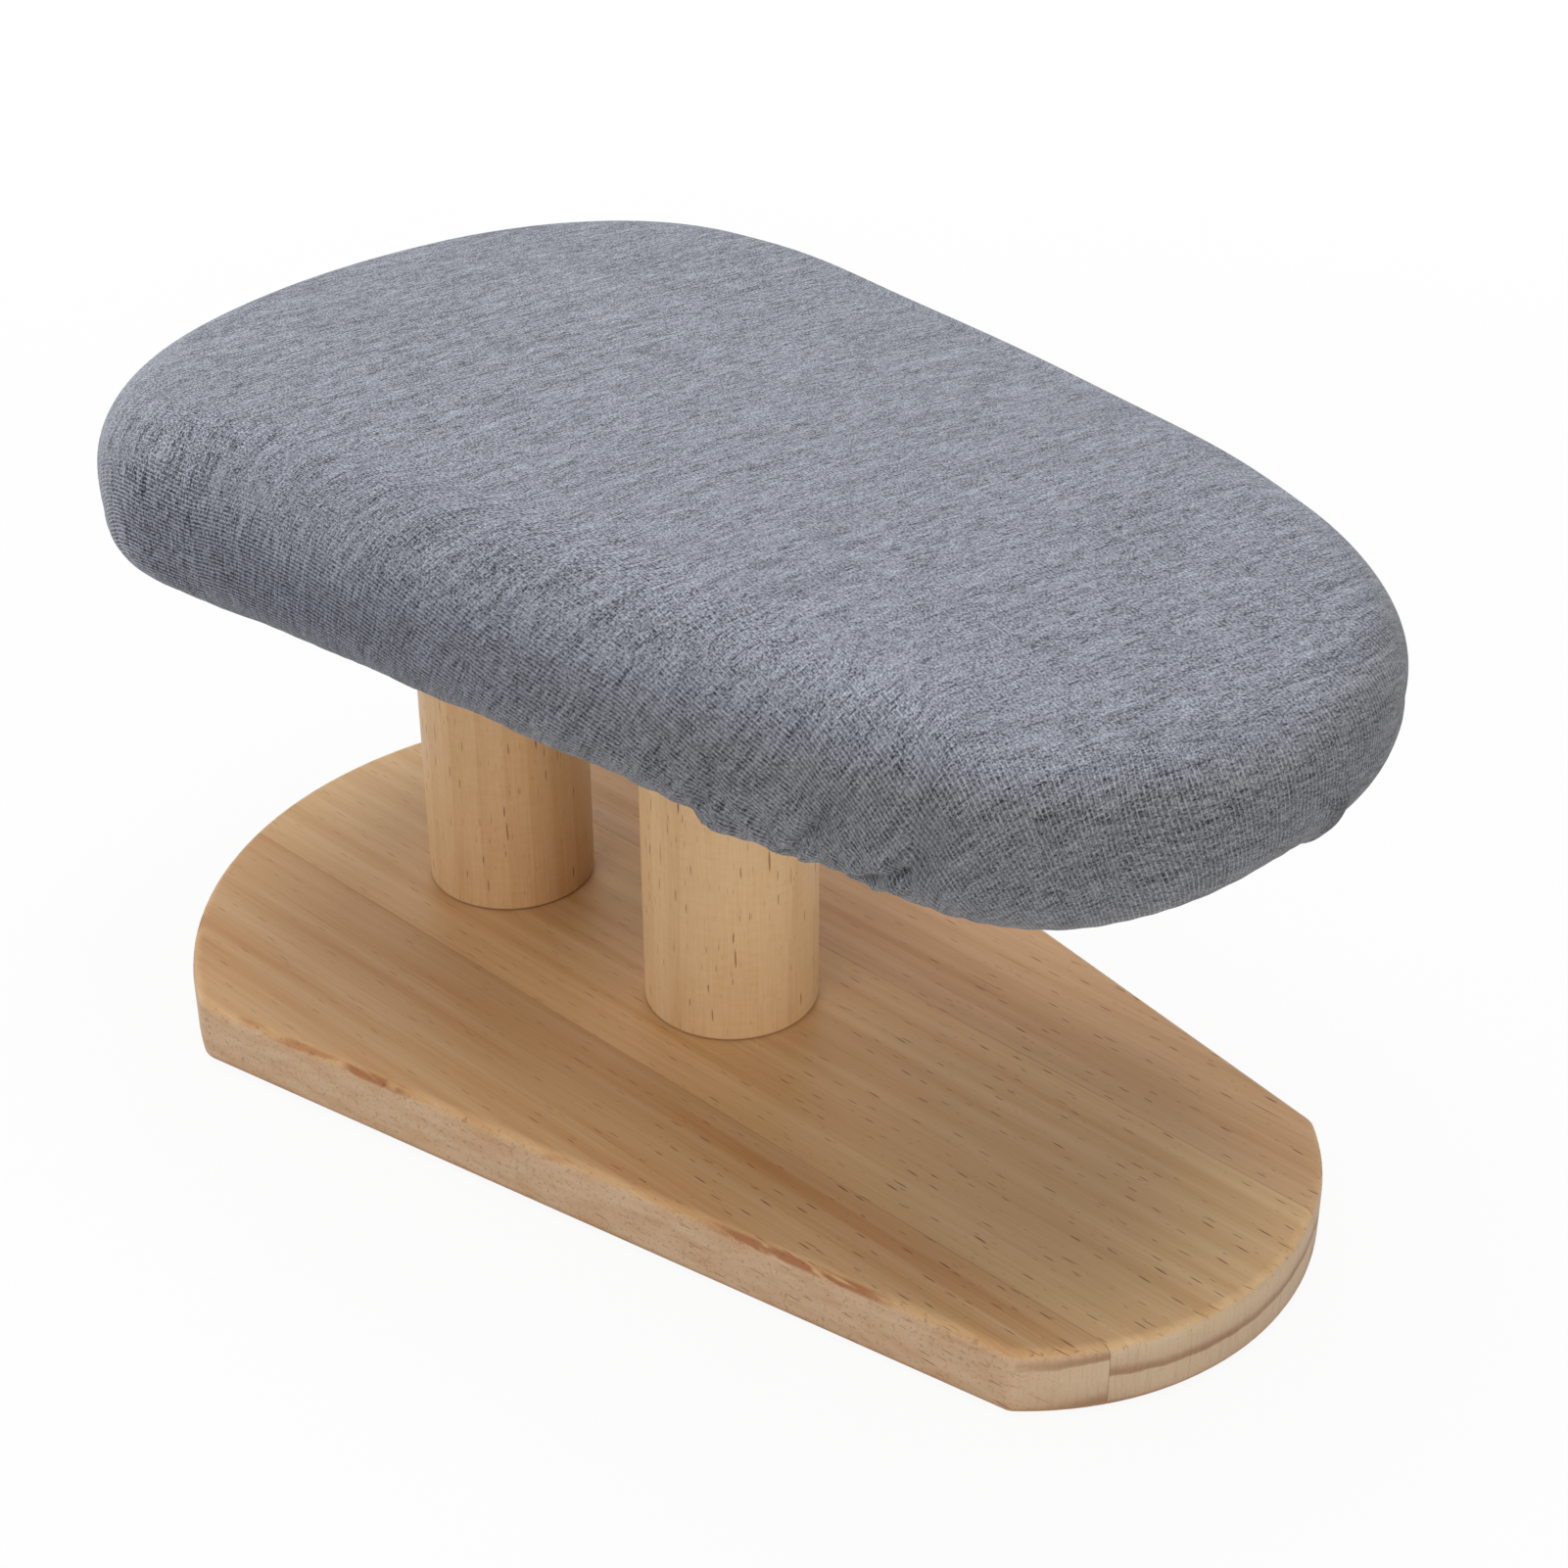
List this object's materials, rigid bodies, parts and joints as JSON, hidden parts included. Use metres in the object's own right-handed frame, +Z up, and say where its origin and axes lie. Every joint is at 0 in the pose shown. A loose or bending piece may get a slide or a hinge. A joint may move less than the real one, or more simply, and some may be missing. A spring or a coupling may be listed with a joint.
{
  "type": "tabletop ironing board",
  "caption": "Small tabletop ironing board: a padded, cloth-covered oval top with a narrower nose, held above a tapered wooden base by round posts so that sleeves slide over it.",
  "frame": {"origin": "middle of the base's underside, on the table, which is also the bottom centre of the whole object's box", "axes": "+X along the length towards the narrow nose, +Y towards the rear side, +Z up"},
  "size_m": [0.2924, 0.1794, 0.1665],
  "materials": {
    "base_pine": "sanded pine with a clear satin coat, warm grain streaks and short dark resin flecks",
    "post_wood": "pale sanded dowel with fine upright grain",
    "board_wood": "plain plywood, hidden",
    "screw_steel": "zinc-plated",
    "foam": "soft open foam, hidden",
    "knit_cloth": "heather blue-grey jersey knit",
    "elastic": "covered round elastic, off-white"
  },
  "bodies": {
    "root": {"base_front_stave": "base_pine", "base_middle_stave": "base_pine", "base_rear_stave": "base_pine", "rear_post": "post_wood", "front_post": "post_wood", "base_screw_rear": "screw_steel", "base_screw_front": "screw_steel", "top_screw_rear": "screw_steel", "top_screw_front": "screw_steel", "top_board": "board_wood", "padding": "foam", "cover": "knit_cloth", "hem_elastic": "elastic"}
  },
  "joints": []
}
